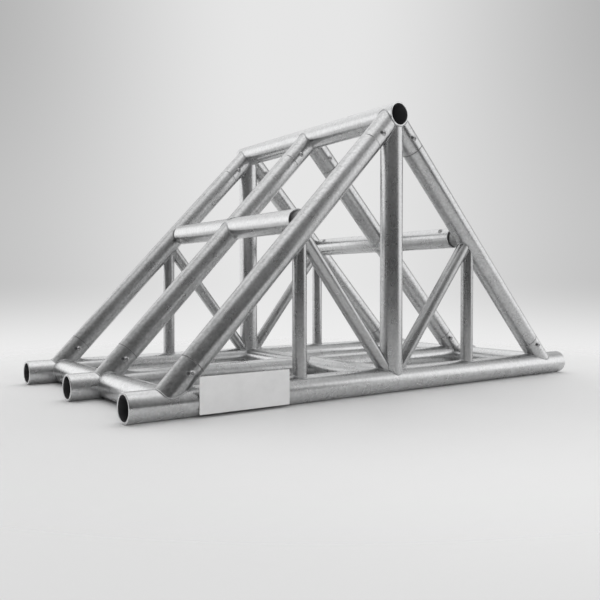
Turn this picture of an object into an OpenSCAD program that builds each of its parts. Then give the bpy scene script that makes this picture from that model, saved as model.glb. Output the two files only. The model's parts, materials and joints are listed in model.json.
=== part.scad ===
// Tubular steel roof truss: three parallel gable frames joined by a ridge tube, purlins and cross tubes.
// Millimetres, +Z up, origin on the floor under the middle of the truss, chords along X, ridge along Y.

/* [Overall] */
// Length of the bottom chords, end to end
chord_len = 2550; // [2400:10:3200]
// Height of the ridge axis above the chord axes
rise = 1192; // [1000:2:1500]
// Distance between neighbouring frames, axis to axis
frame_gap = 610; // [450:5:900]

/* [Bottom chords] */
// Outside diameter of the bottom chords
chord_od = 114.3; // [108:0.1:139.7]
// Wall of the bottom chords
chord_wall = 10; // [5:0.1:14]

/* [Ridge tube] */
// Outside diameter of the ridge tube
ridge_od = 108; // [106:0.1:139.7]
// Wall of the ridge tube
ridge_wall = 7.1; // [5:0.1:14]
// Length of ridge tube that stands past the axis of each outer frame
ridge_overhang = 52; // [40:1:200]

/* [Rafters] */
// Outside diameter of the rafters and of their sockets
rafter_od = 101.6; // [82.5:0.1:104]
// Wall of the rafters
rafter_wall = 8; // [5:0.1:11]
// Distance from the end of a chord to the point where a rafter axis meets the chord axis
foot_inset = 137; // [110:1:220]

/* [Rafter sockets] */
// Distance from the joint of the axes to the seam between socket and rafter
socket_len = 190; // [165:1:280]
// Wall of the sockets
socket_wall = 8; // [5:0.1:11]
// Length of the rafter spigot that slides into the socket
spigot_len = 65; // [50:1:90]
// Length of the same spigot that is held inside the rafter
spigot_root = 60; // [40:1:120]
// Wall of the spigot
spigot_wall = 6; // [3:0.1:9]
// Clearance all round between spigot and socket
spigot_gap = 0.4; // [0.2:0.1:1]
// Distance from the seam of a foot socket to its locking screw
foot_screw_from_seam = 40; // [25:1:55]
// Distance from the seam of a ridge socket to its locking screw
ridge_screw_from_seam = 55; // [25:1:55]

/* [Locking screws] */
// Diameter of the clearance hole in a socket or purlin
screw_hole_d = 13; // [9:0.5:17]
// Diameter of the tapped hole in a spigot
tapped_hole_d = 10.2; // [6.8:0.1:14]

/* [King posts] */
// Outside diameter of the king posts
king_od = 101.6; // [76.1:0.1:104]
// Wall of the king posts
king_wall = 8; // [5:0.1:11]

/* [Web tubes] */
// Distance from the middle of the truss to the axis of a side post
post_x = 516; // [420:1:620]
// Outside diameter of the side posts
post_od = 60.3; // [42.4:0.1:76.1]
// Wall of the side posts
post_wall = 5; // [3:0.1:8]
// Outside diameter of the diagonals
diagonal_od = 60.3; // [42.4:0.1:76.1]
// Wall of the diagonals
diagonal_wall = 5; // [3:0.1:8]

/* [Purlins] */
// Distance from the middle of the truss to the axis of the left purlin
left_purlin_x = 468; // [420:1:620]
// Distance from the middle of the truss to the axis of the right purlin
right_purlin_x = 502; // [420:1:620]
// Outside diameter of the purlins
purlin_od = 101.6; // [82.5:0.1:108]
// Wall of the purlins
purlin_wall = 8; // [5:0.1:11]
// Gap between the end of a purlin and the rafter beside it
purlin_standoff = 22; // [5:1:40]
// Length of the peg on a rafter that carries the end of a purlin
peg_len = 110; // [100:1:160]
// Wall of the peg
peg_wall = 6; // [4.5:0.1:9]
// Clearance all round between peg and purlin
peg_gap = 0.3; // [0.2:0.1:1]
// Distance from the end of a purlin to its locking screw
purlin_screw_inset = 60; // [25:1:70]

/* [Cross tubes] */
// Distance from the end of a chord to the axis of an outer cross tube
cross_inset = 170; // [130:1:250]
// Outside diameter of the cross tubes
cross_od = 114.3; // [88.9:0.1:114.3]
// Wall of the cross tubes
cross_wall = 10; // [5:0.1:14]

/* [Edges] */
// Chamfer, outside and inside, on the open ends of chords, ridge tube and purlins
end_chamfer = 1.5; // [0.5:0.1:2]
// Chamfer on both edges of a seam between socket and rafter
seam_chamfer = 2; // [0.5:0.1:2.4]
// Chamfer that leads a spigot or a peg into its tube
lead_chamfer = 2; // [0.5:0.1:2.2]
// Length ground off the feather edges where a tube is coped to one of its own size
feather_trim = 12; // [8:1:20]

/* [Hidden] */
$fn = 96;
cut = 1;
steel = [0.63, 0.64, 0.65];
dark_steel = [0.52, 0.53, 0.55];

FRAMES = ["front", "middle", "back"];
BRACED_FRAMES = ["front", "back"];
BAYS = ["front", "back"];
SIDES = ["left", "right"];
CROSS_LINES = ["left", "middle", "right"];

chord_half = chord_len / 2;
chord_z = chord_od / 2;
foot_x = chord_half - foot_inset;
cross_x = chord_half - cross_inset;
ridge_z = chord_z + rise;
ridge_half = frame_gap + ridge_overhang;
spigot_od = rafter_od - 2 * socket_wall - 2 * spigot_gap;
spigot_bore = spigot_od - 2 * spigot_wall;
purlin_half = frame_gap - rafter_od / 2 - purlin_standoff;
peg_od = purlin_od - 2 * purlin_wall - 2 * peg_gap;
to_front = [0, -1, 0];

// Places
function frame_y(f) = f == "front" ? -frame_gap : f == "back" ? frame_gap : 0;
function side_sign(s) = s == "left" ? -1 : s == "right" ? 1 : 0;
function foot_at(f, s) = [side_sign(s) * foot_x, frame_y(f), chord_z];
function ridge_at(f) = [0, frame_y(f), ridge_z];
function chord_at(f, x) = [x, frame_y(f), chord_z];
function rafter_at(f, s, x) = [side_sign(s) * x, frame_y(f), ridge_z - rise * x / foot_x];
function purlin_at(f, s) = rafter_at(f, s, s == "left" ? left_purlin_x : right_purlin_x);
function unit(v) = v / norm(v);
function up_slope(s) = unit([-side_sign(s) * foot_x, 0, rise]);
// Direction of the purlin screws: along the slope, to the left
function left_slope(s) = side_sign(s) * up_slope(s);
function foot_seam(f, s) = foot_at(f, s) + up_slope(s) * socket_len;
function ridge_seam(f, s) = ridge_at(f) - up_slope(s) * socket_len;
function has_king(f) = f != "middle";
// Sides of a frame, along Y, on which a bay lies
function bay_signs(f) = f == "front" ? [1] : f == "back" ? [-1] : [-1, 1];

// Places a piece that stands on the origin along +Z so that it runs from a towards b
module along(a, b) {
    v = b - a;
    translate(a)
        rotate([0, acos(v.z / norm(v)), atan2(v.y, v.x)])
            children();
}

// Solid round bar from a to b
module bar(a, b, d) {
    along(a, b)
        cylinder(h = norm(b - a), d = d);
}

// Solid round bar from a to b with chamfered ends
module chamfered_bar(a, b, d, edge) {
    l = norm(b - a);
    r = d / 2;
    along(a, b)
        rotate_extrude()
            polygon([[0, 0], [r - edge, 0], [r, edge], [r, l - edge], [r - edge, l], [0, l]]);
}

// Round bore from a to b that flares at both ends
module flared_bore(a, b, d, edge) {
    l = norm(b - a);
    r = d / 2;
    flare = r + edge + cut;
    along(a, b)
        rotate_extrude()
            polygon([[0, -cut], [flare, -cut], [r, edge], [r, l - edge], [flare, l + cut], [0, l + cut]]);
}

// Round tube from a to b with plain ends, to be coped
module tube(a, b, od, wall) {
    u = unit(b - a);
    difference() {
        bar(a, b, od);
        bar(a - u * cut, b + u * cut, od - 2 * wall);
    }
}

// Open round tube from a to b, chamfered outside and inside at both ends
module chamfered_tube(a, b, od, wall, edge) {
    difference() {
        chamfered_bar(a, b, od, edge);
        flared_bore(a, b, od - 2 * wall, edge);
    }
}

// Outer bodies of the members, which the tubes that meet them are coped to
module chord_body(f) {
    bar(chord_at(f, -chord_half), chord_at(f, chord_half), chord_od);
}

module ridge_body() {
    end = [0, ridge_half, 0];
    bar(ridge_at("middle") - end, ridge_at("middle") + end, ridge_od);
}

module cross_bodies(f, x) {
    for (b = bay_signs(f))
        bar(chord_at(f, x), chord_at(f, x) + [0, b * frame_gap, 0], cross_od);
}

module king_body(f) {
    bar(chord_at(f, 0), ridge_at(f), king_od);
}

module rafter_body(f, s) {
    bar(foot_at(f, s), ridge_at(f), rafter_od);
}

module purlin_body(s) {
    bar(purlin_at("front", s), purlin_at("back", s), purlin_od);
}

module diagonal_body(f, s) {
    bar(chord_at(f, 0), rafter_at(f, s, post_x), diagonal_od);
}

module foot_joint(f, s) {
    chord_body(f);
    cross_bodies(f, side_sign(s) * cross_x);
}

// Block on the far side of the middle plane, which mitres a ridge socket against its twin
module far_half(f, s) {
    block = 2 * socket_len;
    translate(ridge_at(f) - [side_sign(s) * block / 2, 0, 0])
        cube(block, center = true);
}

module ridge_joint(f, s) {
    ridge_body();
    if (has_king(f)) king_body(f);
    else far_half(f, s);
}

// Radial screw hole outwards from a tube axis
module screw_hole(at, way, d, reach) {
    bar(at, at + way * reach, d);
}

// Screw holes of both sockets of one rafter line
module rafter_screw_holes(f, s, d) {
    u = up_slope(s);
    screw_hole(foot_seam(f, s) - u * foot_screw_from_seam, to_front, d, rafter_od);
    screw_hole(ridge_seam(f, s) + u * ridge_screw_from_seam, to_front, d, rafter_od);
}

module bottom_chord(f) {
    color(steel)
        chamfered_tube(chord_at(f, -chord_half), chord_at(f, chord_half), chord_od, chord_wall, end_chamfer);
}

module ridge_tube() {
    end = [0, ridge_half, 0];
    color(steel)
        chamfered_tube(ridge_at("middle") - end, ridge_at("middle") + end, ridge_od, ridge_wall, end_chamfer);
}

// Tube between two chords, both ends coped and their feather edges ground off
module cross_tube(line, bay) {
    x = side_sign(line) * cross_x;
    trim = [0, feather_trim, 0];
    first = bay == "front" ? "front" : "middle";
    second = bay == "front" ? "middle" : "back";
    color(steel)
        difference() {
            tube(chord_at(first, x) + trim, chord_at(second, x) - trim, cross_od, cross_wall);
            chord_body(first);
            chord_body(second);
        }
}

// Stub coped to chord and cross tubes, open at the seam for the spigot of the rafter
module foot_socket(f, s) {
    color(steel)
        difference() {
            chamfered_tube(foot_at(f, s), foot_seam(f, s), rafter_od, socket_wall, seam_chamfer);
            foot_joint(f, s);
            rafter_screw_holes(f, s, screw_hole_d);
        }
}

// Stub coped to ridge tube and king post
module ridge_socket(f, s) {
    color(steel)
        difference() {
            chamfered_tube(ridge_seam(f, s), ridge_at(f), rafter_od, socket_wall, seam_chamfer);
            ridge_joint(f, s);
            rafter_screw_holes(f, s, screw_hole_d);
        }
}

// Spigot welded into the end of a rafter at a seam; way points from the rafter into the socket
module spigot_outside(seam, way) {
    chamfered_bar(seam - way * spigot_root, seam + way * spigot_len, spigot_od, lead_chamfer);
}

module spigot_inside(seam, way) {
    bar(seam - way * (spigot_root + cut), seam + way * (spigot_len + cut), spigot_bore);
}

// Rafter of an outer frame, in one length from seam to seam
module rafter(f, s) {
    u = up_slope(s);
    low = foot_seam(f, s);
    high = ridge_seam(f, s);
    color(steel)
        difference() {
            union() {
                chamfered_bar(low, high, rafter_od, seam_chamfer);
                spigot_outside(low, -u);
                spigot_outside(high, u);
            }
            bar(low + u * spigot_root, high - u * spigot_root, rafter_od - 2 * rafter_wall);
            spigot_inside(low, -u);
            spigot_inside(high, u);
            foot_joint(f, s);
            ridge_joint(f, s);
            rafter_screw_holes(f, s, tapped_hole_d);
        }
}

// Length of a middle rafter between a seam and the purlin that it is coped to
module half_rafter(s, seam, way) {
    purlin_axis = purlin_at("middle", s);
    color(steel)
        difference() {
            union() {
                chamfered_bar(seam, purlin_axis + way * feather_trim, rafter_od, seam_chamfer);
                spigot_outside(seam, way);
            }
            bar(seam - way * spigot_root, purlin_axis, rafter_od - 2 * rafter_wall);
            spigot_inside(seam, way);
            purlin_body(s);
            foot_joint("middle", s);
            ridge_joint("middle", s);
            rafter_screw_holes("middle", s, tapped_hole_d);
        }
}

module lower_rafter(s) {
    half_rafter(s, foot_seam("middle", s), -up_slope(s));
}

module upper_rafter(s) {
    half_rafter(s, ridge_seam("middle", s), up_slope(s));
}

module king_post(f) {
    color(steel)
        difference() {
            tube(chord_at(f, 0), ridge_at(f), king_od, king_wall);
            chord_body(f);
            cross_bodies(f, 0);
            ridge_body();
        }
}

// Diagonal from the corner of chord and king post to the rafter
module diagonal(f, s) {
    color(dark_steel)
        difference() {
            tube(chord_at(f, 0), rafter_at(f, s, post_x), diagonal_od, diagonal_wall);
            chord_body(f);
            cross_bodies(f, 0);
            king_body(f);
            rafter_body(f, s);
        }
}

// Side post, coped to chord, rafter and the diagonal that reaches the rafter beside it
module post(f, s) {
    color(dark_steel)
        difference() {
            tube(chord_at(f, side_sign(s) * post_x), rafter_at(f, s, post_x), post_od, post_wall);
            chord_body(f);
            rafter_body(f, s);
            diagonal_body(f, s);
        }
}

// Purlin, through the middle frame and square-cut a little short of the outer rafters
module purlin(s) {
    middle = purlin_at("middle", s);
    end = [0, purlin_half, 0];
    screw = [0, purlin_half - purlin_screw_inset, 0];
    color(steel)
        difference() {
            chamfered_tube(middle - end, middle + end, purlin_od, purlin_wall, end_chamfer);
            screw_hole(middle - screw, left_slope(s), screw_hole_d, purlin_od);
            screw_hole(middle + screw, left_slope(s), screw_hole_d, purlin_od);
        }
}

// Peg welded to an outer rafter, inside the end of the purlin
module purlin_peg(f, s) {
    inwards = [0, bay_signs(f)[0], 0];
    start = purlin_at(f, s);
    end = start + inwards * (rafter_od / 2 + peg_len);
    screw = start + inwards * (rafter_od / 2 + purlin_standoff + purlin_screw_inset);
    color(dark_steel)
        difference() {
            chamfered_tube(start, end, peg_od, peg_wall, lead_chamfer);
            rafter_body(f, s);
            screw_hole(screw, left_slope(s), tapped_hole_d, peg_od);
        }
}

for (f = FRAMES)
    bottom_chord(f);
for (c = CROSS_LINES, b = BAYS)
    cross_tube(c, b);
ridge_tube();
for (f = FRAMES, s = SIDES)
    foot_socket(f, s);
for (f = FRAMES, s = SIDES)
    ridge_socket(f, s);
for (f = BRACED_FRAMES, s = SIDES)
    rafter(f, s);
for (s = SIDES)
    lower_rafter(s);
for (s = SIDES)
    upper_rafter(s);
for (f = BRACED_FRAMES)
    king_post(f);
for (f = BRACED_FRAMES, s = SIDES)
    post(f, s);
for (f = BRACED_FRAMES, s = SIDES)
    diagonal(f, s);
for (s = SIDES)
    purlin(s);
for (f = BRACED_FRAMES, s = SIDES)
    purlin_peg(f, s);
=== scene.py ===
import json
import math

import bmesh
import bpy
from mathutils import Matrix, Vector


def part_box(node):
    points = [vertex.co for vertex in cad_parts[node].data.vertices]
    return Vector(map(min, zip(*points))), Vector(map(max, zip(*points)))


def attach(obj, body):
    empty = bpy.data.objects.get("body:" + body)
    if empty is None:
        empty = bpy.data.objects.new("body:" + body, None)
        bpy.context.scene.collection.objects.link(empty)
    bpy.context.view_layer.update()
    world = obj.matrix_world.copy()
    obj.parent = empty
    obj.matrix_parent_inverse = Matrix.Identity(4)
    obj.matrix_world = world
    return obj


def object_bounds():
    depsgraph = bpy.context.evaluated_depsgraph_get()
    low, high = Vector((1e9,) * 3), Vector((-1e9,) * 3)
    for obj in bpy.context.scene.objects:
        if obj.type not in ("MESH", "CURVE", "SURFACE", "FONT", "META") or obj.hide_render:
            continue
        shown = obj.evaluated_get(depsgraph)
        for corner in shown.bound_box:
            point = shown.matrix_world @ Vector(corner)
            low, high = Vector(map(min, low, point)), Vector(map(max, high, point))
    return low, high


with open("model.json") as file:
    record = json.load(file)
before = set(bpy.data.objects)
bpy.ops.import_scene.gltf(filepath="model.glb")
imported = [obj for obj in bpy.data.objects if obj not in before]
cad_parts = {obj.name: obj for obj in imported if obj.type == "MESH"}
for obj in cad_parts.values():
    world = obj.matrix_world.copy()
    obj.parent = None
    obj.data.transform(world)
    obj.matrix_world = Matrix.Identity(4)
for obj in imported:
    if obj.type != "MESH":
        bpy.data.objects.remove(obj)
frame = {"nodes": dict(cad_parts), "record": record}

bl_info = {
    "name": "Tubular Roof Truss",
    "version": (1, 0, 0),
    "blender": (4, 5, 0),
    "location": "View3D > Sidebar > Truss",
    "description": "Dresses a tubular steel roof truss with its finish, screws, welds and plate",
    "category": "Object",
}

CAD_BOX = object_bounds()
BODY = "root"
FRAMES = ("front", "middle", "back")
BRACED_FRAMES = ("front", "back")
SIDES = {"left": -1.0, "right": 1.0}
CROSS_LINES = {"left": -1.0, "middle": 0.0, "right": 1.0}
TO_FRONT = Vector((0.0, -1.0, 0.0))
UP = Vector((0.0, 0.0, 1.0))


# Places of the truss, read from the frame

def box_centre(node):
    low, high = (Vector(corner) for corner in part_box(node))
    return (low + high) / 2


def box_size(node):
    low, high = (Vector(corner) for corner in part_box(node))
    return high - low


CHORD_R = box_size("front_bottom_chord").z / 2
RIDGE_R = box_size("ridge_tube").z / 2
RAFTER_R = box_size("front_left_rafter").y / 2
KING_R = box_size("front_king_post").x / 2
POST_R = box_size("front_left_post").x / 2
DIAGONAL_R = box_size("front_left_diagonal").y / 2
PURLIN_R = box_size("left_purlin").x / 2
CROSS_R = box_size("left_front_cross_tube").x / 2
CHORD_HALF = box_size("front_bottom_chord").x / 2
RIDGE_AXIS = box_centre("ridge_tube")
CHORD_Z = box_centre("front_bottom_chord").z
CROSS_X = box_centre("right_front_cross_tube").x
POST_X = box_centre("front_right_post").x
# Sizes of the solids that their boxes don't show
CHORD_WALL = 0.010
RIDGE_WALL = 0.0071
PURLIN_WALL = 0.008
SEAM_CHAMFER = 0.002
FEATHER_TRIM = 0.012


def frame_y(name):
    return box_centre(name + "_bottom_chord").y


def ridge_at(name):
    return Vector((0.0, frame_y(name), RIDGE_AXIS.z))


def chord_at(name, x):
    return Vector((x, frame_y(name), CHORD_Z))


def up_slope(side):
    """Direction of a rafter axis, from its foot to the ridge."""
    middle = box_centre("front_" + side + "_rafter")
    return (ridge_at("front") - middle).normalized()


def left_slope(side):
    """Direction of the purlin screws: along the slope, to the left."""
    return up_slope(side) * SIDES[side]


def foot_at(name, side):
    along = up_slope(side)
    return ridge_at(name) - along * ((RIDGE_AXIS.z - CHORD_Z) / along.z)


def rafter_at(name, side, x):
    along = up_slope(side)
    return ridge_at(name) - along * (x / abs(along.x))


def socket_length():
    """Distance from the joint of the axes to the seam, from the top of a foot socket."""
    along = up_slope("left")
    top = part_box("front_left_foot_socket")[1][2]
    return (top - CHORD_Z - (RAFTER_R - SEAM_CHAMFER) * abs(along.x)) / along.z


SOCKET_LEN = socket_length()


# Settings that a user would change

class TrussSteelSettings(bpy.types.PropertyGroup):
    tube_colour: bpy.props.FloatVectorProperty(
        name="Tube colour", description="Colour of the galvanised tubes", subtype="COLOR",
        size=3, min=0.0, max=1.0, default=(0.58, 0.583, 0.586))
    # Besides the bore scale, this colour gives the painted shadows at the screws and the painted shade on
    # the purlin pegs
    bore_scale_and_shade_colour: bpy.props.FloatVectorProperty(
        name="Bore colour", description="Colour of the mill scale inside the open tubes, and of the dirt",
        subtype="COLOR", size=3, min=0.0, max=1.0, default=(0.055, 0.055, 0.057))
    # The seams take this colour as grime; the key recesses take it, darkened further, as painted shade
    seam_grime_and_recess_shade_colour: bpy.props.FloatVectorProperty(
        name="Grime colour", description="Colour of the grime in the seams and key recesses",
        subtype="COLOR", size=3, min=0.0, max=1.0, default=(0.12, 0.12, 0.122))
    grime_reach: bpy.props.FloatProperty(
        name="Grime reach", description="How far the grime reaches on each side of a seam", unit="LENGTH",
        min=0.0, default=0.0022)
    # Strength and reach of the painted shade that darkens the left rafters towards their feet
    foot_shade_strength: bpy.props.FloatProperty(
        name="Stain", description="Strength of the dark stains on the feet of the left rafters",
        subtype="FACTOR", min=0.0, max=1.0, default=0.30)
    foot_shade_reach: bpy.props.FloatProperty(
        name="Stain reach", description="How far the stains reach up the left rafters", unit="LENGTH",
        min=0.2, default=0.50)
    # Reach of the painted shadow at the left edge of each screw
    screw_shadow_reach: bpy.props.FloatProperty(
        name="Spot reach", description="How far the dirt at the edge of a screw fades out", unit="LENGTH",
        min=0.0, default=0.007)
    roughness: bpy.props.FloatProperty(
        name="Roughness", description="Mean roughness of the tubes", subtype="FACTOR",
        min=0.0, max=1.0, default=0.28)
    cloud_size: bpy.props.FloatProperty(
        name="Cloud size", description="Size of the faint tone changes", unit="LENGTH",
        min=0.005, default=0.06)
    grain_size: bpy.props.FloatProperty(
        name="Grain size", description="Size of the faint grain", unit="LENGTH", min=0.001, default=0.012)


class TrussScrewSettings(bpy.types.PropertyGroup):
    head_diameter: bpy.props.FloatProperty(
        name="Head diameter", description="Diameter of the button head", unit="LENGTH",
        min=0.005, default=0.021)
    head_height: bpy.props.FloatProperty(
        name="Head height", description="Height of the button head", unit="LENGTH",
        min=0.002, default=0.0072)
    collar_diameter: bpy.props.FloatProperty(
        name="Collar diameter", description="Diameter of the collar under the head", unit="LENGTH",
        min=0.005, default=0.0265)
    collar_height: bpy.props.FloatProperty(
        name="Collar height", description="Thickness of the collar's edge", unit="LENGTH",
        min=0.0005, default=0.0016)
    shank_diameter: bpy.props.FloatProperty(
        name="Shank diameter", description="Diameter of the shank", unit="LENGTH",
        min=0.002, default=0.010)
    shank_length: bpy.props.FloatProperty(
        name="Shank length", description="Length of the shank below the collar", unit="LENGTH",
        min=0.008, default=0.016)
    key_size: bpy.props.FloatProperty(
        name="Key size", description="Width across flats of the hexagon recess", unit="LENGTH",
        min=0.002, default=0.011)
    key_depth: bpy.props.FloatProperty(
        name="Key depth", description="Depth of the hexagon recess", unit="LENGTH",
        min=0.001, default=0.005)
    from_foot_seam: bpy.props.FloatProperty(
        name="From foot seam", description="Distance from a foot socket's seam to its screw",
        unit="LENGTH", default=0.040)
    from_ridge_seam: bpy.props.FloatProperty(
        name="From ridge seam", description="Distance from a ridge socket's seam to its screw",
        unit="LENGTH", default=0.055)
    purlin_inset: bpy.props.FloatProperty(
        name="Purlin inset", description="Distance from a purlin's end to its screw",
        unit="LENGTH", default=0.060)
    colour: bpy.props.FloatVectorProperty(
        name="Screw colour", description="Colour of the zinc-plated screws", subtype="COLOR",
        size=3, min=0.0, max=1.0, default=(0.52, 0.52, 0.525))


class TrussWeldSettings(bpy.types.PropertyGroup):
    bead_radius: bpy.props.FloatProperty(
        name="Bead radius", description="Radius of a weld bead", unit="LENGTH",
        min=0.0005, default=0.0035)
    ripple_pitch: bpy.props.FloatProperty(
        name="Ripple pitch", description="Distance between the ripples of a bead", unit="LENGTH",
        min=0.002, default=0.007)
    ripple_depth: bpy.props.FloatProperty(
        name="Ripple depth", description="Share of the radius that the ripples take", subtype="FACTOR",
        min=0.0, max=0.5, default=0.12)
    colour: bpy.props.FloatVectorProperty(
        name="Weld colour", description="Colour of the weld metal", subtype="COLOR",
        size=3, min=0.0, max=1.0, default=(0.50, 0.505, 0.51))


class TrussPlateSettings(bpy.types.PropertyGroup):
    length: bpy.props.FloatProperty(
        name="Length", description="Length of the plate along the chord", unit="LENGTH",
        min=0.05, default=0.400)
    height: bpy.props.FloatProperty(
        name="Height", description="Height of the plate", unit="LENGTH", min=0.03, default=0.140)
    thickness: bpy.props.FloatProperty(
        name="Thickness", description="Thickness of the sheet", unit="LENGTH", min=0.0005, default=0.0025)
    corner_radius: bpy.props.FloatProperty(
        name="Corner radius", description="Radius of the corners", unit="LENGTH",
        min=0.0005, default=0.003)
    edge_radius: bpy.props.FloatProperty(
        name="Edge radius", description="Rounding of the sheet's edges", unit="LENGTH",
        min=0.0, default=0.0005)
    middle_x: bpy.props.FloatProperty(
        name="Middle", description="Place of the plate's middle along the chord", unit="LENGTH",
        default=-0.808)
    lift: bpy.props.FloatProperty(
        name="Lift", description="Height of the plate's middle above the chord axis", unit="LENGTH",
        default=0.026)
    colour: bpy.props.FloatVectorProperty(
        name="Plate colour", description="Colour of the plate", subtype="COLOR",
        size=3, min=0.0, max=1.0, default=(0.72, 0.72, 0.72))


class TrussStageSettings(bpy.types.PropertyGroup):
    floor_radius: bpy.props.FloatProperty(
        name="Floor radius", description="Radius of the floor disc", unit="LENGTH", default=14.0)
    floor_colour: bpy.props.FloatVectorProperty(
        name="Floor colour", description="Colour of the floor", subtype="COLOR",
        size=3, min=0.0, max=1.0, default=(0.80, 0.80, 0.80))
    flag_radius: bpy.props.FloatProperty(
        name="Flag radius", description="Distance of the dark cloth from the truss", unit="LENGTH",
        default=4.3)
    flag_turn: bpy.props.FloatProperty(
        name="Flag turn", description="Turn of the dark cloth from the camera to its left",
        subtype="ANGLE", default=0.05)
    camera_place: bpy.props.FloatVectorProperty(
        name="Camera place", description="Place of the camera", subtype="XYZ", unit="LENGTH",
        size=3, default=(-2.203, -2.917, 0.486))
    camera_yaw: bpy.props.FloatProperty(
        name="Camera yaw", description="Turn of the view from +Y towards +X", subtype="ANGLE",
        default=0.6322)
    camera_pitch: bpy.props.FloatProperty(
        name="Camera pitch", description="Tilt of the view above level", subtype="ANGLE",
        default=-0.0214)
    lens: bpy.props.FloatProperty(
        name="Lens", description="Focal length in millimetres on a 36 mm frame", unit="CAMERA",
        default=41.8)


SETTINGS = (
    ("truss_steel", TrussSteelSettings),
    ("truss_screws", TrussScrewSettings),
    ("truss_welds", TrussWeldSettings),
    ("truss_plate", TrussPlateSettings),
    ("truss_stage", TrussStageSettings),
)


# Materials. A tone is a share of a colour, and a contrast a share more and less of it.

GRAIN_WEIGHT = 2.0
BLEND_RANGE = (0.9, 2.1)
GLOSS_CHANGE = 0.015
PLAIN_CONTRAST = 0.12
RAFTER_CONTRAST = 0.19
RAFTER_TONE = 0.87
# The web tubes take a darker copy of the tube steel as painted shade
WEB_SHADE_TONE = 0.735
# The pegs take a darker copy of the tube steel as painted shade, with more painted shade next to the purlin
# ends
PEG_SHADE_TONE = 0.54
PEG_ROUGHNESS = 0.40
PEG_SHADE_REACH = {"left": 0.060, "right": 0.014}
COVER_ROUGHNESS = 0.35
# Painted shade on the left rafters' feet: its tone, added roughness, speck size, spread and full-strength
# length
FOOT_SHADE_TONE = 0.3
FOOT_SHADE_ROUGHNESS = 0.12
FOOT_SHADE_SPECK_SIZE = 0.014
FOOT_SHADE_SPREAD = (1.7, 0.3)
FOOT_SHADE_FULL = 0.15
SEAM_FADE = (1.4, 0.6)
SEAM_CLOUD_SIZE = 0.03
SEAM_STRENGTH = (0.35, 1.0)
BORE_MARGIN = 0.0004
PLATE_CLOUD_SIZE = 0.05
PLATE_GRAIN_SIZE = 0.004
PLATE_CONTRAST = 0.04
PLATE_ROUGHNESS = (0.42, 0.50)
SCREW_ROUGHNESS = 0.32
DULL_SCREW_ROUGHNESS = 0.55
DULL_SCREW_METAL = 0.2
# Painted shade in the hexagon key recesses: its share of the grime colour and its roughness
RECESS_SHADE_TONE = 0.3
RECESS_ROUGHNESS = 0.70
WELD_ROUGHNESS = 0.40


def new_material(name):
    material = bpy.data.materials.new(name)
    material.use_nodes = True
    tree = material.node_tree
    return material, tree, tree.nodes["Principled BSDF"]


def add_node(tree, kind, **values):
    node = tree.nodes.new(kind)
    for key, value in values.items():
        setattr(node, key, value)
    return node


def noise(tree, coords, size, detail=4.0, roughness=0.55):
    """Noise of one feature size, in metres, on Object coordinates."""
    node = add_node(tree, "ShaderNodeTexNoise")
    node.inputs["Scale"].default_value = 1.0 / size
    node.inputs["Detail"].default_value = detail
    node.inputs["Roughness"].default_value = roughness
    tree.links.new(coords, node.inputs["Vector"])
    return node.outputs["Fac"]


def remap(tree, value, low, high, from_low=0.3, from_high=0.7):
    node = add_node(tree, "ShaderNodeMapRange")
    node.inputs["From Min"].default_value = from_low
    node.inputs["From Max"].default_value = from_high
    node.inputs["To Min"].default_value = low
    node.inputs["To Max"].default_value = high
    tree.links.new(value, node.inputs["Value"])
    return node.outputs["Result"]


def smooth_step(tree, value, low, high):
    node = add_node(tree, "ShaderNodeMapRange", interpolation_type="SMOOTHSTEP")
    node.inputs["From Min"].default_value = low
    node.inputs["From Max"].default_value = high
    tree.links.new(value, node.inputs["Value"])
    return node.outputs["Result"]


def dot(tree, vector, direction):
    node = add_node(tree, "ShaderNodeVectorMath", operation="DOT_PRODUCT")
    tree.links.new(vector, node.inputs[0])
    node.inputs[1].default_value = direction
    return node.outputs["Value"]


def maths(tree, operation, first, second):
    node = add_node(tree, "ShaderNodeMath", operation=operation)
    for socket, value in zip(node.inputs, (first, second)):
        if isinstance(value, (int, float)):
            socket.default_value = value
        else:
            tree.links.new(value, socket)
    return node.outputs["Value"]


def mix_colour(tree, factor, first, second):
    node = add_node(tree, "ShaderNodeMix", data_type="RGBA")
    for name, value in (("Factor", factor), ("A", first), ("B", second)):
        socket = next(s for s in node.inputs if s.name == name and s.enabled)
        if isinstance(value, bpy.types.NodeSocket):
            tree.links.new(value, socket)
        else:
            socket.default_value = value if isinstance(value, float) else (*value, 1.0)
    return next(s for s in node.outputs if s.enabled)


def grey(level):
    return (level, level, level)


def times(values, factor):
    return tuple(factor * value for value in values)


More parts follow.
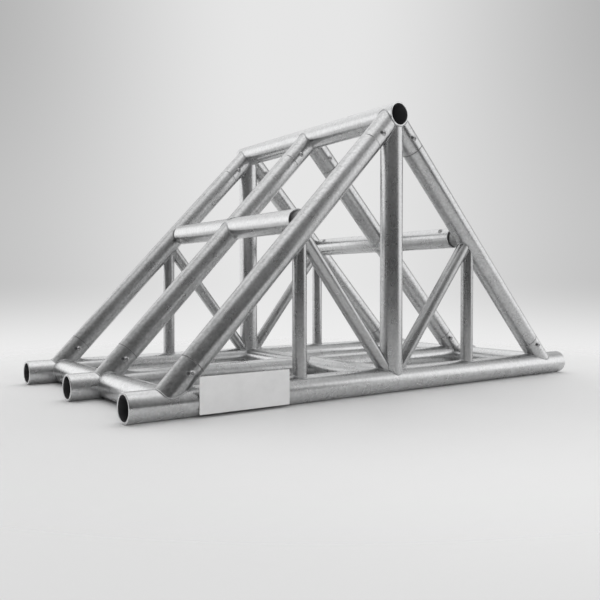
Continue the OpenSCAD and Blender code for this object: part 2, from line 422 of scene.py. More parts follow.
def steel(name, colour, settings, covers=(), foot_shade=(), contrast=PLAIN_CONTRAST, roughness=None,
          metallic=1.0):
    """Galvanised steel with faint clouds in its tone and gloss, and a faint grain in its tone.

    A cover is dull dirt, scale or painted shade over the steel: its colour, the function of its mask and
    the values of that function. The foot shade is painted shade that darkens the metal itself, and is the
    values of its mask.
    """
    material, tree, shader = new_material(name)
    coords = add_node(tree, "ShaderNodeTexCoord").outputs["Object"]
    cloud = noise(tree, coords, settings.cloud_size, detail=2.0)
    grain = noise(tree, coords, settings.grain_size, detail=1.0)
    dark = times(colour, 1.0 - contrast)
    light = times(colour, 1.0 + contrast)
    blend = maths(tree, "ADD", cloud, maths(tree, "MULTIPLY", grain, GRAIN_WEIGHT))
    outer = mix_colour(tree, remap(tree, blend, 0.0, 1.0, *BLEND_RANGE), dark, light)
    mean = settings.roughness if roughness is None else roughness
    rough = remap(tree, cloud, mean - GLOSS_CHANGE, mean + GLOSS_CHANGE)
    # Painted shade that darkens the metal towards the feet
    if foot_shade:
        mask = foot_shade_mask(tree, coords, *foot_shade)
        outer = mix_colour(tree, mask, outer, times(colour, FOOT_SHADE_TONE))
        rough = maths(tree, "ADD", rough, maths(tree, "MULTIPLY", mask, FOOT_SHADE_ROUGHNESS))
    shader.inputs["Metallic"].default_value = metallic
    metal = metallic
    for cover, mask_of, *values in covers:
        mask = mask_of(tree, coords, *values)
        outer = mix_colour(tree, mask, outer, tuple(cover))
        rough = maths(tree, "ADD", rough, maths(tree, "MULTIPLY", mask, COVER_ROUGHNESS))
        metal = maths(tree, "MULTIPLY", maths(tree, "SUBTRACT", 1.0, mask), metal)
        tree.links.new(metal, shader.inputs["Metallic"])
    tree.links.new(outer, shader.inputs["Base Color"])
    tree.links.new(rough, shader.inputs["Roughness"])
    return material


def bore_mask(tree, coords, point, direction, radius):
    """1 inside the given radius of an axis, 0 outside."""
    from_axis = add_node(tree, "ShaderNodeVectorMath", operation="SUBTRACT")
    tree.links.new(coords, from_axis.inputs[0])
    from_axis.inputs[1].default_value = point
    across = add_node(tree, "ShaderNodeVectorMath", operation="CROSS_PRODUCT")
    tree.links.new(from_axis.outputs["Vector"], across.inputs[0])
    across.inputs[1].default_value = direction
    length = add_node(tree, "ShaderNodeVectorMath", operation="LENGTH")
    tree.links.new(across.outputs["Vector"], length.inputs[0])
    return maths(tree, "LESS_THAN", length.outputs["Value"], radius)


def least(tree, values):
    """The least of several values."""
    lowest = values[0]
    for value in values[1:]:
        lowest = maths(tree, "MINIMUM", lowest, value)
    return lowest


def seam_mask(tree, coords, direction, places, reach):
    """Up to 1 within reach of any of the places along a direction, in uneven strength, fading to 0."""
    along = dot(tree, coords, direction)
    gaps = [maths(tree, "ABSOLUTE", maths(tree, "SUBTRACT", along, place), 0.0) for place in places]
    line = smooth_step(tree, least(tree, gaps), *times(SEAM_FADE, reach))
    strength = remap(tree, noise(tree, coords, SEAM_CLOUD_SIZE, detail=2.0), *SEAM_STRENGTH)
    return maths(tree, "MULTIPLY", line, strength)


def spot_mask(tree, coords, points, radius, fade):
    """1 within a radius of any of the points, falling to 0 over the fade."""
    distances = []
    for point in points:
        node = add_node(tree, "ShaderNodeVectorMath", operation="DISTANCE")
        tree.links.new(coords, node.inputs[0])
        node.inputs[1].default_value = point
        distances.append(node.outputs["Value"])
    return smooth_step(tree, least(tree, distances), radius + fade, radius)


def foot_shade_mask(tree, coords, direction, low, high, strength):
    """Mottled painted shade that is strong up to a low place along a direction and fades to 0 at a high
    one.
    """
    fade = smooth_step(tree, dot(tree, coords, direction), high, low)
    specks = remap(tree, noise(tree, coords, FOOT_SHADE_SPECK_SIZE, detail=2.0), *times(FOOT_SHADE_SPREAD, strength))
    return maths(tree, "MULTIPLY", fade, specks)


def mouth_mask(tree, coords, place, reach):
    """1 inside a purlin and at its ends, which lie at a place along Y, falling to 0 over the reach."""
    along = maths(tree, "ABSOLUTE", dot(tree, coords, (0.0, 1.0, 0.0)), 0.0)
    return smooth_step(tree, along, place + reach, place)


def plate_finish(settings):
    material, tree, shader = new_material("plate_enamel")
    coords = add_node(tree, "ShaderNodeTexCoord").outputs["Object"]
    cloud = remap(tree, noise(tree, coords, PLATE_CLOUD_SIZE), 0.0, 1.0)
    dark = times(settings.colour, 1.0 - PLATE_CONTRAST)
    light = times(settings.colour, 1.0 + PLATE_CONTRAST)
    tree.links.new(mix_colour(tree, cloud, dark, light), shader.inputs["Base Color"])
    rough = remap(tree, noise(tree, coords, PLATE_GRAIN_SIZE), *PLATE_ROUGHNESS)
    tree.links.new(rough, shader.inputs["Roughness"])
    return material


# Meshes. The shapes of a screw are shares of its own sizes, but for the chamfer of its key.

SCREW_SEGMENTS = 36
SHANK_CHAMFER = 0.15
COLLAR_CHAMFER = 0.3
HEAD_STEP = 1.1
HEAD_DOME = ((0.97, 0.25), (0.90, 0.58), (0.79, 0.86), (0.69, 1.0))
KEY_CHAMFER = 0.0004
# Place and core of the painted shadow at a screw's left edge
SCREW_SHADOW_PLACE = Vector((-0.55, 0.0, 0.1))
SCREW_SHADOW_CORE = 0.6
PLATE_CORNER_SEGMENTS = 5
PLATE_EDGE_SEGMENTS = 2


def piece_from_bmesh(bm, name, materials):
    """A finished piece at the origin, riding on the truss."""
    mesh = bpy.data.meshes.new(name)
    bm.to_mesh(mesh)
    bm.free()
    return finish_piece(mesh, name, materials)


def finish_piece(mesh, name, materials):
    mesh.materials.clear()
    for material in materials:
        mesh.materials.append(material)
    mesh.polygons.foreach_set("use_smooth", [True] * len(mesh.polygons))
    piece = bpy.data.objects.new(name, mesh)
    bpy.context.scene.collection.objects.link(piece)
    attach(piece, BODY)
    return piece


def turn_to(direction):
    """Matrix that turns +Z to a direction."""
    return direction.to_track_quat("Z", "Y").to_matrix().to_4x4()


def screw_bmesh(settings, seat):
    """Collared button-head screw along +Z with a hexagon recess; its collar reaches seat below the origin.

    HEAD_DOME gives the dome's shape in shares of the head's radius and of its height above the collar.
    """
    bm = bmesh.new()
    collar = settings.collar_diameter / 2
    rim = settings.collar_height
    radius = settings.head_diameter / 2
    height = settings.head_height
    shank = settings.shank_diameter / 2
    chamfer = SHANK_CHAMFER * shank
    tip = bmesh.ops.create_circle(bm, cap_ends=True, segments=SCREW_SEGMENTS, radius=shank - chamfer)
    bmesh.ops.translate(bm, verts=tip["verts"], vec=(0.0, 0.0, -settings.shank_length))
    edges = list(bm.edges)
    steps = [(shank, chamfer - settings.shank_length), (shank, -seat), (collar, -seat),
             (collar, (1.0 - COLLAR_CHAMFER) * rim), (collar - COLLAR_CHAMFER * rim, rim),
             (radius, HEAD_STEP * rim)]
    steps += [(radius * share, rim + rise * (height - rim)) for share, rise in HEAD_DOME]
    for r, z in steps:
        edges = extrude_ring(bm, edges, r, z)
    key = settings.key_size / 2
    edges = extrude_ring(bm, edges, key, height - KEY_CHAMFER, sides=6)
    outside = set(bm.faces)
    edges = extrude_ring(bm, edges, key, height - settings.key_depth, sides=6)
    bmesh.ops.contextual_create(bm, geom=edges)
    for face in bm.faces:
        face.material_index = 0 if face in outside else 1
    bmesh.ops.recalc_face_normals(bm, faces=bm.faces)
    return bm


def extrude_ring(bm, edges, radius, z, sides=0):
    """Extrudes a ring of edges to a new radius and height; sides shapes it into a polygon by its flats."""
    made = bmesh.ops.extrude_edge_only(bm, edges=edges)["geom"]
    for vert in (g for g in made if isinstance(g, bmesh.types.BMVert)):
        angle = math.atan2(vert.co.y, vert.co.x)
        reach = radius
        if sides:
            half = math.pi / sides
            reach = radius / math.cos((angle % (2 * half)) - half)
        vert.co = Vector((reach * math.cos(angle), reach * math.sin(angle), z))
    return [g for g in made if isinstance(g, bmesh.types.BMEdge)]


def seat_depth(head_radius, tube_radius):
    """How far the rim of a flat head sinks beside the crest of a tube."""
    return tube_radius - math.sqrt(tube_radius ** 2 - head_radius ** 2)


def socket_screw_seats(name, side):
    """Where the two locking screws of a rafter sit on its sockets, and the way they face, by name."""
    settings = bpy.context.scene.truss_screws
    along = up_slope(side)
    low = foot_at(name, side) + along * (SOCKET_LEN - settings.from_foot_seam)
    high = ridge_at(name) - along * (SOCKET_LEN - settings.from_ridge_seam)
    out = TO_FRONT * RAFTER_R
    return {name + "_" + side + "_foot_screw": (low + out, TO_FRONT),
            name + "_" + side + "_ridge_screw": (high + out, TO_FRONT)}


def purlin_screw_seats(side):
    """Where the two locking screws of a purlin sit on it, and the way they face, by name."""
    settings = bpy.context.scene.truss_screws
    way = left_slope(side)
    crest = box_centre(side + "_purlin") + way * PURLIN_R
    reach = Vector((0.0, box_size(side + "_purlin").y / 2 - settings.purlin_inset, 0.0))
    return {"front_" + side + "_purlin_screw": (crest - reach, way),
            "back_" + side + "_purlin_screw": (crest + reach, way)}


def screw_painted_shadow(settings, side):
    """Painted shadow at the left edge of a side's foot screws and of its front ridge screw, as a cover."""
    edge = SCREW_SHADOW_PLACE * bpy.context.scene.truss_screws.collar_diameter
    points = []
    for name in FRAMES:
        for screw, (seat, _) in socket_screw_seats(name, side).items():
            if name == "front" or screw.endswith("_foot_screw"):
                points.append(seat + edge)
    reach = settings.screw_shadow_reach
    return [settings.bore_scale_and_shade_colour, spot_mask, points, SCREW_SHADOW_CORE * reach, reach]


# Coped joints, as curves where a tube meets the bodies around it

LEAST_SLANT = 1e-9
END_SLACK = 1e-4
COPE_STRETCH = 1.25
POINTS_A_RIPPLE = 4
FEWEST_RIPPLES = 8


class RoundBody:
    """A round member that tubes are coped to: its axis from a to b, and its radius."""

    def __init__(self, a, b, radius):
        self.a = a
        self.length = (b - a).length
        self.axis = (b - a).normalized()
        self.radius = radius

    def reach(self, point, along):
        """Largest distance along a line at which it leaves this body, or None."""
        off = point - self.a
        off_across = off - self.axis * off.dot(self.axis)
        along_across = along - self.axis * along.dot(self.axis)
        a = along_across.length_squared
        if a < LEAST_SLANT:
            return None
        b = off_across.dot(along_across)
        under = b * b - a * (off_across.length_squared - self.radius ** 2)
        if under < 0.0:
            return None
        distance = (-b + math.sqrt(under)) / a
        on_axis = (off + along * distance).dot(self.axis)
        return distance if -END_SLACK <= on_axis <= self.length + END_SLACK else None


def chord_body(name):
    return RoundBody(chord_at(name, -CHORD_HALF), chord_at(name, CHORD_HALF), CHORD_R)


def ridge_body():
    half = Vector((0.0, CAD_BOX[1][1], 0.0))
    return RoundBody(RIDGE_AXIS - half, RIDGE_AXIS + half, RIDGE_R)


def king_body(name):
    return RoundBody(chord_at(name, 0.0), ridge_at(name), KING_R)


def rafter_body(name, side):
    return RoundBody(foot_at(name, side), ridge_at(name), RAFTER_R)


def diagonal_body(name, side):
    return RoundBody(chord_at(name, 0.0), rafter_at(name, side, POST_X), DIAGONAL_R)


def purlin_body(side):
    middle = box_centre(side + "_purlin")
    half = Vector((0.0, box_size(side + "_purlin").y / 2, 0.0))
    return RoundBody(middle - half, middle + half, PURLIN_R)


def bay_signs(name):
    return {"front": (1.0,), "middle": (-1.0, 1.0), "back": (-1.0,)}[name]


def cross_bodies(name, x):
    step = abs(frame_y("back") - frame_y("middle"))
    start = chord_at(name, x)
    return [RoundBody(start, start + Vector((0.0, sign * step, 0.0)), CROSS_R) for sign in bay_signs(name)]


def cope_points(start, along, radius, bodies, trim, count):
    """Closed curve where the skin of a tube that runs along from start meets the bodies or is trimmed."""
    turn = turn_to(along)
    points = []
    for i in range(count):
        angle = 2 * math.pi * i / count
        spoke = turn @ Vector((math.cos(angle), math.sin(angle), 0.0))
        on_tube = start + spoke * radius
        reaches = [body.reach(on_tube, along) for body in bodies]
        points.append(on_tube + along * max(reach for reach in reaches + [trim] if reach is not None))
    return points


def weld_mesh(name, joints, settings):
    """Weld beads along the coped joints, as one mesh; a joint is start, along, radius, bodies and trim.

    No bead reaches below the level that the truss stands on.
    """
    lowest = settings.bead_radius * (1.0 + settings.ripple_depth)
    curve = bpy.data.curves.new(name, "CURVE")
    curve.dimensions = "3D"
    curve.bevel_depth = settings.bead_radius
    curve.bevel_resolution = 1
    for start, along, radius, bodies, trim in joints:
        length = 2 * math.pi * radius * COPE_STRETCH
        count = POINTS_A_RIPPLE * max(FEWEST_RIPPLES, round(length / settings.ripple_pitch))
        places = cope_points(start, along, radius, bodies, trim, count)
        spline = curve.splines.new("POLY")
        spline.points.add(count - 1)
        spline.use_cyclic_u = True
        for i, (point, place) in enumerate(zip(spline.points, places)):
            point.co = (place.x, place.y, max(place.z, lowest), 1.0)
            point.radius = 1.0 + settings.ripple_depth * math.sin(2 * math.pi * i / POINTS_A_RIPPLE)
    holder = bpy.data.objects.new(name, curve)
    bpy.context.scene.collection.objects.link(holder)
    graph = bpy.context.evaluated_depsgraph_get()
    mesh = bpy.data.meshes.new_from_object(holder.evaluated_get(graph))
    bpy.data.objects.remove(holder)
    bpy.data.curves.remove(curve)
    return mesh


# Operators, one for each group of pieces and one for the stage

class TRUSS_OT_finish_tubes(bpy.types.Operator):
    """Give every tube of the truss its galvanised finish"""
    bl_idname = "truss.finish_tubes"
    bl_label = "Finish Tubes"

    def execute(self, context):
        settings = context.scene.truss_steel
        colour = Vector(settings.tube_colour)
        plain = {
            "chord_steel": steel("chord_steel", colour, settings),
            "rafter_steel": steel("rafter_steel", colour * RAFTER_TONE, settings),
            # The web steel is the tube steel darkened as painted shade
            "web_steel": steel("web_steel", colour * WEB_SHADE_TONE, settings),
        }
        slot_of = {row["node"]: row["material_slot"] for row in frame["record"]["subparts"]}
        # Rafters and sockets: grime in the seams, painted shadows at the screws and, on the left, painted
        # shade at the feet
        seamed = {
            side: steel(side + "_rafter_steel", colour * RAFTER_TONE, settings,
                        self.rafter_seam_grime_and_screw_shadow(settings, side), self.foot_painted_shade(settings, side), RAFTER_CONTRAST)
            for side in SIDES
        }
        # Purlin pegs: darker steel as painted shade, with more painted shade at the purlin mouths
        pegs = {
            side: steel(side + "_inner_steel", colour * PEG_SHADE_TONE, settings,
                        self.peg_painted_shade(settings, side), roughness=PEG_ROUGHNESS)
            for side in SIDES
        }
        for node, tube in frame["nodes"].items():
            side = "left" if "left" in node else "right"
            covers = self.bore_scale(settings, node)
            if covers:
                material = steel(node + "_steel", colour, settings, covers)
            elif slot_of[node] == "inner_steel":
                material = pegs[side]
            elif slot_of[node] == "rafter_steel" and ("rafter" in node or "socket" in node):
                material = seamed[side]
            else:
                material = plain[slot_of[node]]
            for slot in tube.material_slots:
                slot.material = material
        return {"FINISHED"}

    def bore_scale(self, settings, node):
        """Mill scale in the bore of a tube whose ends stand open."""
        scale = [settings.bore_scale_and_shade_colour, bore_mask, box_centre(node)]
        if node.endswith("_bottom_chord"):
            return [scale + [Vector((1.0, 0.0, 0.0)), CHORD_R - CHORD_WALL + BORE_MARGIN]]
        if node == "ridge_tube":
            return [scale + [Vector((0.0, 1.0, 0.0)), RIDGE_R - RIDGE_WALL + BORE_MARGIN]]
        if node.endswith("_purlin"):
            return [scale + [Vector((0.0, 1.0, 0.0)), PURLIN_R - PURLIN_WALL + BORE_MARGIN]]
        return []

    def rafter_seam_grime_and_screw_shadow(self, settings, side):
        """Painted shadow at the screws and grime in the seams of a side's rafters, but for the left seams
        at the ridge.
        """
        along = up_slope(side)
        low = (foot_at("front", side) + along * SOCKET_LEN).dot(along)
        high = (ridge_at("front") - along * SOCKET_LEN).dot(along)
        places = [low] if side == "left" else [low, high]
        return [[settings.seam_grime_and_recess_shade_colour, seam_mask, along, places, settings.grime_reach],
                screw_painted_shadow(settings, side)]

    def foot_painted_shade(self, settings, side):
        """Painted shade, darker towards the feet of the left rafters; the right ones have none."""
        if side == "right":
            return ()
        along = up_slope(side)
        foot = foot_at("front", side).dot(along)
        return (along, foot + FOOT_SHADE_FULL, foot + settings.foot_shade_reach, settings.foot_shade_strength)

    def peg_painted_shade(self, settings, side):
        """Painted shade on a side's purlin pegs, inside the purlin and next to its ends."""
        end = box_size(side + "_purlin").y / 2
        return [[settings.bore_scale_and_shade_colour, mouth_mask, end, PEG_SHADE_REACH[side]]]


class TRUSS_OT_add_screws(bpy.types.Operator):
    """Add the locking screws of the sockets and purlins"""
    bl_idname = "truss.add_screws"
    bl_label = "Add Screws"

    def execute(self, context):
        settings = context.scene.truss_screws
        finish = context.scene.truss_steel
        colour = Vector(settings.colour)
        # Painted shadow at the left edge of the screw heads and of the tube around them
        screw_shadows = [screw_painted_shadow(finish, side) for side in SIDES]
        bright = steel("screw_zinc", colour, finish, screw_shadows, roughness=SCREW_ROUGHNESS)
        dull = steel("dull_zinc", colour, finish, roughness=DULL_SCREW_ROUGHNESS, metallic=DULL_SCREW_METAL)
        # Painted shade in the hexagon key recesses
        recess_shade_colour = Vector(finish.seam_grime_and_recess_shade_colour) * RECESS_SHADE_TONE
        recess = steel("recess_painted_shade", recess_shade_colour, finish, roughness=RECESS_ROUGHNESS, metallic=0.0)
        for side in SIDES:
            for frame_name in FRAMES:
                for name, (seat, way) in socket_screw_seats(frame_name, side).items():
                    self.add(name, seat, way, RAFTER_R, (bright, recess))
            for name, (seat, way) in purlin_screw_seats(side).items():
                self.add(name, seat, way, PURLIN_R, (dull, recess))
        return {"FINISHED"}

    def add(self, name, seat, way, tube_radius, materials):
        settings = bpy.context.scene.truss_screws
        depth = seat_depth(settings.collar_diameter / 2, tube_radius)
        bm = screw_bmesh(settings, 2 * depth)
        place = Matrix.Translation(seat - way * (depth / 2)) @ turn_to(way)
        bmesh.ops.transform(bm, matrix=place, verts=bm.verts)
        piece_from_bmesh(bm, name, materials)


class TRUSS_OT_add_welds(bpy.types.Operator):
    """Add the weld beads along the coped joints"""
    bl_idname = "truss.add_welds"
    bl_label = "Add Welds"

    def execute(self, context):
        settings = context.scene.truss_welds
        finish = context.scene.truss_steel
        material = steel("weld_metal", Vector(settings.colour), finish, roughness=WELD_ROUGHNESS)
        groups = {
            "cross_tube_welds": self.cross_tubes(),
            "foot_socket_welds": self.foot_sockets(),
            "ridge_socket_welds": self.ridge_sockets(),
            "king_post_welds": self.king_posts(),
            "web_tube_welds": self.web_tubes(),
            "purlin_welds": self.purlins(),
        }
        for name, joints in groups.items():
            finish_piece(weld_mesh(name, joints, settings), name, (material,))
        return {"FINISHED"}

    def cross_tubes(self):
        joints = []
        for sign in CROSS_LINES.values():
            for name in FRAMES:
                for bay in bay_signs(name):
                    start = chord_at(name, sign * CROSS_X)
                    along = Vector((0.0, bay, 0.0))
                    joints.append((start, along, CROSS_R, [chord_body(name)], FEATHER_TRIM))
        return joints

    def foot_sockets(self):
        return [
            (foot_at(name, side), up_slope(side), RAFTER_R,
             [chord_body(name)] + cross_bodies(name, SIDES[side] * CROSS_X), 0.0)
            for name in FRAMES for side in SIDES
        ]

    def ridge_sockets(self):
        joints = []
        for name in FRAMES:
            for side in SIDES:
                bodies = [ridge_body()] + ([king_body(name)] if name in BRACED_FRAMES else [])
                joints.append((ridge_at(name), -up_slope(side), RAFTER_R, bodies, 0.0))
        return joints

    def king_posts(self):
        joints = []
        for name in BRACED_FRAMES:
            bodies = [chord_body(name)] + cross_bodies(name, 0.0)
            joints.append((chord_at(name, 0.0), UP, KING_R, bodies, 0.0))
            joints.append((ridge_at(name), -UP, KING_R, [ridge_body()], 0.0))
        return joints

    def web_tubes(self):
        joints = []
        for name in BRACED_FRAMES:
            chord = chord_body(name)
            middle = chord_at(name, 0.0)
            for side, sign in SIDES.items():
                top = rafter_at(name, side, POST_X)
                foot = chord_at(name, sign * POST_X)
                lean = (top - middle).normalized()
                rafter = rafter_body(name, side)
                joints.append((foot, UP, POST_R, [chord], 0.0))
                joints.append((top, -UP, POST_R, [rafter, diagonal_body(name, side)], 0.0))
                joints.append((middle, lean, DIAGONAL_R, [chord, king_body(name)], 0.0))
                joints.append((top, -lean, DIAGONAL_R, [rafter], 0.0))
        return joints

    def purlins(self):
        joints = []
        for side in SIDES:
            middle = box_centre(side + "_purlin")
            for way in (up_slope(side), -up_slope(side)):
                joints.append((middle, way, RAFTER_R, [purlin_body(side)], FEATHER_TRIM))
        return joints


class TRUSS_OT_add_plate(bpy.types.Operator):
    """Add the bare plate on the front chord"""
    bl_idname = "truss.add_plate"
    bl_label = "Add Plate"

    def execute(self, context):
        settings = context.scene.truss_plate
        bm = bmesh.new()
        bmesh.ops.create_cube(bm, size=1.0)
        size = (settings.length, settings.thickness, settings.height)
        bmesh.ops.scale(bm, vec=size, verts=bm.verts)
        corners = [e for e in bm.edges if abs((e.verts[0].co - e.verts[1].co).y) > settings.thickness / 2]
        self.round_edges(bm, corners, settings.corner_radius, PLATE_CORNER_SEGMENTS)
        rims = [e for e in bm.edges if any(abs(f.normal.y) > 0.9 for f in e.link_faces)]
        self.round_edges(bm, rims, settings.edge_radius, PLATE_EDGE_SEGMENTS)
        front = frame_y("front") - CHORD_R - settings.thickness / 2
        place = Vector((settings.middle_x, front, CHORD_Z + settings.lift))
        bmesh.ops.translate(bm, vec=place, verts=bm.verts)
        piece = piece_from_bmesh(bm, "bare_plate", (plate_finish(settings),))
        piece.data.polygons.foreach_set("use_smooth", [False] * len(piece.data.polygons))
        return {"FINISHED"}

    def round_edges(self, bm, edges, radius, segments):
        bmesh.ops.bevel(bm, geom=edges, offset=radius, affect="EDGES", segments=segments, profile=0.5,
                        material=-1)


# The stage. A tone is a grey level; a span holds the two values between which a tone or a fade runs.

FLOOR_SEGMENTS = 128
FLOOR_ROUGHNESS = 0.6
FLOOR_SHEEN = 0.2
FLOOR_FADE_SPAN = (1.2, 3.0)
SENSOR_WIDTH = 36.0
CLIP_END = 100.0
SOFTBOXES = {
    "overhead_softbox": (Vector((0.4, 1.5, 3.3)), 3.6, 14.0),
    "front_softbox": (Vector((-1.4, -3.2, 1.3)), 1.6, 30.0),
}
FLAG_SEGMENTS = (64, 32)
FLAG_FOOT = 0.02
FLAG_RISE_SPAN = (0.16, 0.36)
FLAG_TONES = (0.05, 0.29)
FLAG_LEAN = Vector((0.0, 0.0, -0.40))
FLAG_EDGE_SPAN = (0.42, 0.05)
WALL_TONE = 0.79
WALL_SIDE_SPAN = (0.05, 0.48)
CORNER_TONES = (0.53, 0.40)
CORNER_RISE_SPAN = (0.05, 0.40)
UPPER_TONES = (0.58, 1.18)
UPPER_TURN = -0.35
UPPER_SIDE_SPAN = (0.25, 0.60)
UPPER_RISE_SPAN = (0.38, 0.62)
SIDE_TONE = 1.42
LEFT_SIDE_SPAN = (-0.42, -0.62)
RIGHT_SIDE_SPAN = (0.62, 0.88)
CEILING_TONE = 1.50
CEILING_RISE_SPAN = (0.80, 0.97)
GROUND_TONES = (0.72, 0.85)
GROUND_RISE_SPAN = (-0.40, -0.10)
HORIZON_SPAN = (-0.095, 0.01)


class TRUSS_OT_set_stage(bpy.types.Operator):
    """Set the floor, the light, the background and the camera"""
    bl_idname = "truss.set_stage"
    bl_label = "Set Stage"

    def execute(self, context):
        settings = context.scene.truss_stage
        context.scene.view_settings.view_transform = "Standard"
        self.add_floor(settings)
        self.add_camera(context, settings)
        self.add_lamps()
        self.add_flag(settings)
        self.set_world(context, settings)
        return {"FINISHED"}

    def add_floor(self, settings):
        bm = bmesh.new()
        bmesh.ops.create_circle(bm, cap_ends=True, segments=FLOOR_SEGMENTS, radius=settings.floor_radius)
        mesh = bpy.data.meshes.new("floor")
        bm.to_mesh(mesh)
        bm.free()
        floor = bpy.data.objects.new("floor", mesh)
        bpy.context.scene.collection.objects.link(floor)
        mesh.materials.append(self.floor_finish(settings))

    def floor_finish(self, settings):
        """Pale matt floor that fades out before the horizon."""
        material, tree, shader = new_material("floor_paint")
        shader.inputs["Base Color"].default_value = (*settings.floor_colour, 1.0)
        shader.inputs["Roughness"].default_value = FLOOR_ROUGHNESS
        shader.inputs["Specular IOR Level"].default_value = FLOOR_SHEEN
        coords = add_node(tree, "ShaderNodeTexCoord").outputs["Object"]
        length = add_node(tree, "ShaderNodeVectorMath", operation="LENGTH")
        tree.links.new(coords, length.inputs[0])
        self.fade_out(tree, shader, smooth_step(tree, length.outputs["Value"], *FLOOR_FADE_SPAN))
        return material

    def add_camera(self, context, settings):
        data = bpy.data.cameras.new("camera")
        data.sensor_width = SENSOR_WIDTH
        data.lens = settings.lens
        data.clip_end = CLIP_END
        camera = bpy.data.objects.new("camera", data)
        camera.location = settings.camera_place
        camera.rotation_euler = (math.pi / 2 + settings.camera_pitch, 0.0, -settings.camera_yaw)
        context.scene.collection.objects.link(camera)
        context.scene.camera = camera

    def add_lamps(self):
        """Two softboxes that the metal doesn't mirror, each with its place, size and power."""
        for name, (place, size, power) in SOFTBOXES.items():
            data = bpy.data.lights.new(name, "AREA")
            data.size = size
            data.energy = power
            lamp = bpy.data.objects.new(name, data)
            lamp.location = place
            lamp.rotation_euler = (-place).to_track_quat("-Z", "Y").to_euler()
            lamp.visible_glossy = False
            bpy.context.scene.collection.objects.link(lamp)

    def add_flag(self, settings):
        """Dark cloth on the camera's side, out of its sight, that gives the tubes their dark bands."""
        bm = bmesh.new()
        around, upward = FLAG_SEGMENTS
        bmesh.ops.create_uvsphere(bm, u_segments=around, v_segments=upward, radius=settings.flag_radius)
        facing = self.flag_facing(settings)
        for point, normal in (((0.0, 0.0, FLAG_FOOT), -UP), ((0.0, 0.0, 0.0), -facing)):
            geometry = list(bm.verts) + list(bm.edges) + list(bm.faces)
            bmesh.ops.bisect_plane(bm, geom=geometry, plane_co=point, plane_no=normal, clear_outer=True)
        mesh = bpy.data.meshes.new("front_flag")
        bm.to_mesh(mesh)
        bm.free()
        material, tree, shader = new_material("flag_cloth")
        shader.inputs["Roughness"].default_value = 1.0
        shader.inputs["Specular IOR Level"].default_value = 0.0
        coords = add_node(tree, "ShaderNodeTexCoord").outputs["Object"]
        height = dot(tree, coords, UP / settings.flag_radius)
        tree.links.new(self.tone(tree, height, FLAG_RISE_SPAN, *FLAG_TONES), shader.inputs["Base Color"])
        reach = dot(tree, coords, (facing + FLAG_LEAN) / settings.flag_radius)
        self.fade_out(tree, shader, smooth_step(tree, reach, *FLAG_EDGE_SPAN))
        mesh.materials.append(material)
        flag = bpy.data.objects.new("front_flag", mesh)
        flag.visible_camera = False
        bpy.context.scene.collection.objects.link(flag)

    def flag_facing(self, settings):
        turn = settings.camera_yaw + settings.flag_turn
        return Vector((-math.sin(turn), -math.cos(turn), 0.0))

    def tone(self, tree, value, span, first, second):
        """Colour that changes over a span of a value; first and second are colours or grey levels."""
        colours = [grey(tone) if isinstance(tone, float) else tone for tone in (first, second)]
        return mix_colour(tree, smooth_step(tree, value, *span), *colours)

    def fade_out(self, tree, shader, fade):
        """Mixes a shader with a clear one by a factor."""
        clear = add_node(tree, "ShaderNodeBsdfTransparent")
        mix = add_node(tree, "ShaderNodeMixShader")
        tree.links.new(fade, mix.inputs["Fac"])
        tree.links.new(shader.outputs["BSDF"], mix.inputs[1])
        tree.links.new(clear.outputs["BSDF"], mix.inputs[2])
        tree.links.new(mix.outputs["Shader"], tree.nodes["Material Output"].inputs["Surface"])

    def set_world(self, context, settings):
        """Pale studio: a wall that darkens to its sides, bright side walls and a bright ceiling."""
        world = bpy.data.worlds.new("studio")
        world.use_nodes = True
        context.scene.world = world
        tree = world.node_tree
        ways = add_node(tree, "ShaderNodeTexCoord").outputs["Generated"]
        across = (math.cos(settings.camera_yaw), -math.sin(settings.camera_yaw), 0.0)
        up = dot(tree, ways, UP)
        right = dot(tree, ways, across)
        corner = self.tone(tree, up, CORNER_RISE_SPAN, *CORNER_TONES)
        wall = self.tone(tree, maths(tree, "ABSOLUTE", right, 0.0), WALL_SIDE_SPAN, WALL_TONE, corner)
        upper = self.tone(tree, dot(tree, ways, self.behind(settings)), UPPER_SIDE_SPAN, *UPPER_TONES)
        wall = self.tone(tree, up, UPPER_RISE_SPAN, wall, upper)
        low = smooth_step(tree, up, *reversed(UPPER_RISE_SPAN))
        beside = maths(tree, "ADD", smooth_step(tree, right, *LEFT_SIDE_SPAN),
                       smooth_step(tree, right, *RIGHT_SIDE_SPAN))
        wall = mix_colour(tree, maths(tree, "MULTIPLY", beside, low), wall, grey(SIDE_TONE))
        wall = self.tone(tree, up, CEILING_RISE_SPAN, wall, CEILING_TONE)
        ground = self.tone(tree, up, GROUND_RISE_SPAN, *GROUND_TONES)
        studio = self.tone(tree, up, HORIZON_SPAN, ground, wall)
        tree.links.new(studio, tree.nodes["Background"].inputs["Color"])

    def behind(self, settings):
        """Level direction behind the truss, a little to the left, where the upper wall is brightest."""
        turn = settings.camera_yaw + UPPER_TURN
        return (math.sin(turn), math.cos(turn), 0.0)


class TRUSS_PT_panel(bpy.types.Panel):
    """Settings and operators of the truss"""
    bl_idname = "TRUSS_PT_panel"
    bl_label = "Roof Truss"
    bl_space_type = "VIEW_3D"
    bl_region_type = "UI"
    bl_category = "Truss"

    def draw(self, context):
        for name, kind in SETTINGS:
            group = getattr(context.scene, name)
            box = self.layout.box()
            for key in kind.__annotations__:
                box.prop(group, key)
        for operator in OPERATORS:
            self.layout.operator(operator.bl_idname)


OPERATORS = (
    TRUSS_OT_set_stage,
    TRUSS_OT_finish_tubes,
    TRUSS_OT_add_screws,
    TRUSS_OT_add_welds,
    TRUSS_OT_add_plate,
)
CLASSES = tuple(kind for _, kind in SETTINGS) + OPERATORS + (TRUSS_PT_panel,)


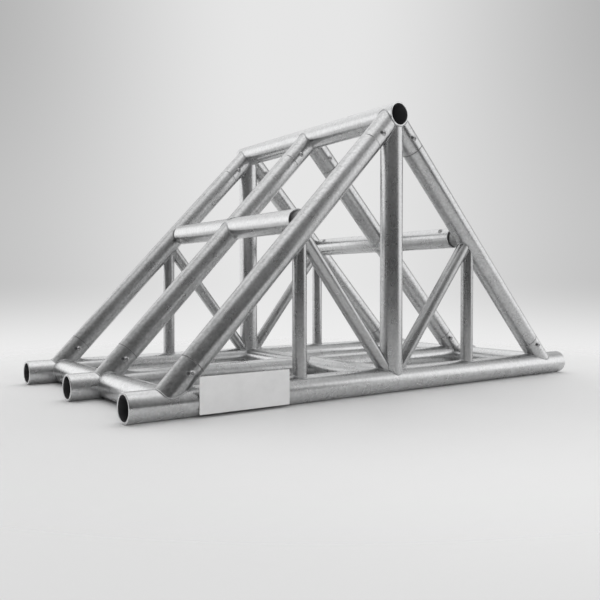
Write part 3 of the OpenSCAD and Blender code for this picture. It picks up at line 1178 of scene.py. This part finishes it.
def register():
    for cls in CLASSES:
        bpy.utils.register_class(cls)
    for name, kind in SETTINGS:
        setattr(bpy.types.Scene, name, bpy.props.PointerProperty(type=kind))


def unregister():
    for name, _ in SETTINGS:
        delattr(bpy.types.Scene, name)
    for cls in reversed(CLASSES):
        bpy.utils.unregister_class(cls)


def main():
    register()
    bpy.ops.truss.set_stage()
    bpy.ops.truss.finish_tubes()
    bpy.ops.truss.add_screws()
    bpy.ops.truss.add_welds()
    bpy.ops.truss.add_plate()


if __name__ == "__main__":
    main()
